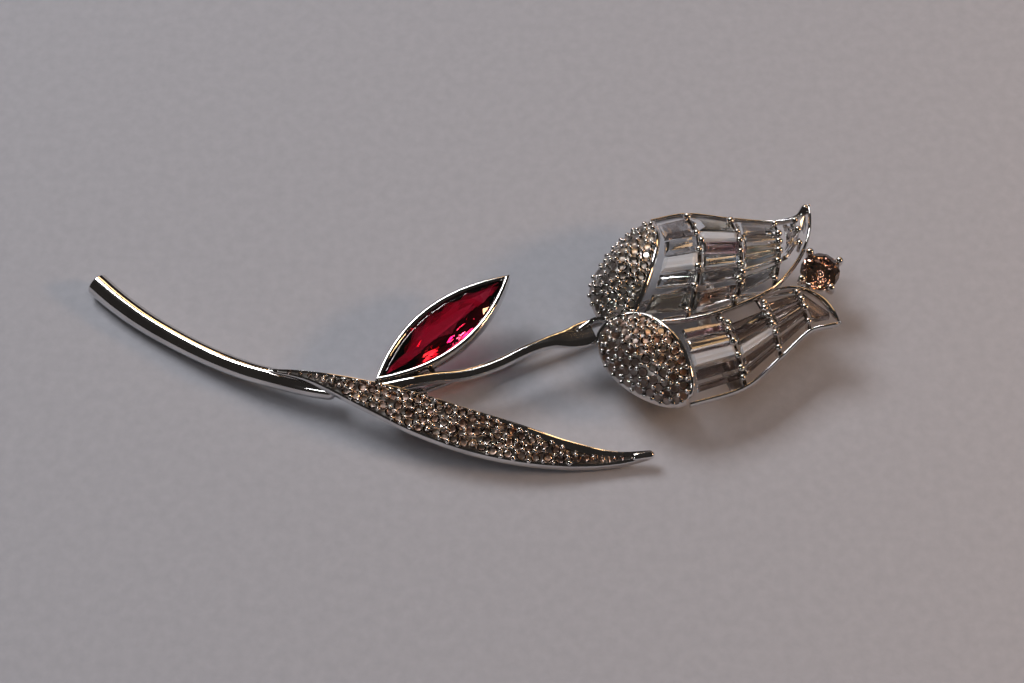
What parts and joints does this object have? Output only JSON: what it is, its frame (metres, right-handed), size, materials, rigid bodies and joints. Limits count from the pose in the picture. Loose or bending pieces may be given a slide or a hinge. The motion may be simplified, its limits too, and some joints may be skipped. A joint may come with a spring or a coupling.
{
  "type": "brooch",
  "caption": "Tulip brooch: curved stem, long pave leaf, navette leaf, pave and baguette flower with a round pistil stone, hinged back pin and turning safety catch.",
  "frame": {"origin": "middle of the footprint, on the surface that the brooch lies on, back down", "axes": "+X from the cut stem end to the flower, +Y across towards the upper petal, +Z out of the front"},
  "size_m": [0.0756, 0.0278, 0.0081],
  "materials": {
    "rhodium_plate": "mirror polished rhodium plate",
    "pin_steel": "drawn spring steel wire, fine lengthwise grain",
    "clear_crystal": "faceted clear baguette stones",
    "pave_crystal": "small round brilliants between bead prongs",
    "crimson_crystal": "faceted deep pink stone",
    "champagne_crystal": "faceted pinkish brown round stone"
  },
  "bodies": {
    "root": {"bezel_strut": "rhodium_plate", "catch_body": "rhodium_plate", "catch_bridge": "rhodium_plate", "hinge_base": "rhodium_plate", "hinge_rivet": "pin_steel", "leaf_body": "rhodium_plate", "leaf_pave": "pave_crystal", "lower_baguette_01": "clear_crystal", "lower_baguette_02": "clear_crystal", "lower_baguette_03": "clear_crystal", "lower_baguette_04": "clear_crystal", "lower_baguette_05": "clear_crystal", "lower_baguette_06": "clear_crystal", "lower_baguette_07": "clear_crystal", "lower_baguette_08": "clear_crystal", "lower_baguette_09": "clear_crystal", "lower_baguette_10": "clear_crystal", "lower_baguette_11": "clear_crystal", "lower_baguette_12": "clear_crystal", "lower_baguette_13": "clear_crystal", "lower_baguette_14": "clear_crystal", "lower_baguette_15": "clear_crystal", "lower_cup_pave": "pave_crystal", "lower_cup_shell": "rhodium_plate", "lower_petal_frame": "rhodium_plate", "lower_stem": "rhodium_plate", "marquise_bezel": "rhodium_plate", "marquise_stone": "crimson_crystal", "pistil_post": "rhodium_plate", "pistil_setting": "rhodium_plate", "pistil_stone": "champagne_crystal", "upper_baguette_01": "clear_crystal", "upper_baguette_02": "clear_crystal", "upper_baguette_03": "clear_crystal", "upper_baguette_04": "clear_crystal", "upper_baguette_05": "clear_crystal", "upper_baguette_06": "clear_crystal", "upper_baguette_07": "clear_crystal", "upper_baguette_08": "clear_crystal", "upper_baguette_09": "clear_crystal", "upper_baguette_10": "clear_crystal", "upper_baguette_11": "clear_crystal", "upper_baguette_12": "clear_crystal", "upper_baguette_13": "clear_crystal", "upper_baguette_14": "clear_crystal", "upper_baguette_15": "clear_crystal", "upper_baguette_16": "clear_crystal", "upper_baguette_17": "clear_crystal", "upper_baguette_18": "clear_crystal", "upper_baguette_19": "clear_crystal", "upper_baguette_20": "clear_crystal", "upper_cup_pave": "pave_crystal", "upper_cup_shell": "rhodium_plate", "upper_petal_frame": "rhodium_plate", "upper_stem": "rhodium_plate"},
    "pin": {"pin_stem": "pin_steel"},
    "roller": {"safety_roller": "pin_steel"}
  },
  "joints": [
    {"name": "pin_hinge", "type": "hinge", "parent": "root", "child": "pin", "pos_m": [-0.00562, -0.00618, 0.0016], "axis": [-0.4157, 0.9095, 0], "range_deg": [0, 100]},
    {"name": "roller_turn", "type": "hinge", "parent": "root", "child": "roller", "pos_m": [0.02348, 0.00712, 0.0016], "axis": [0.9095, 0.4157, 0], "range_deg": [0, 90]}
  ]
}
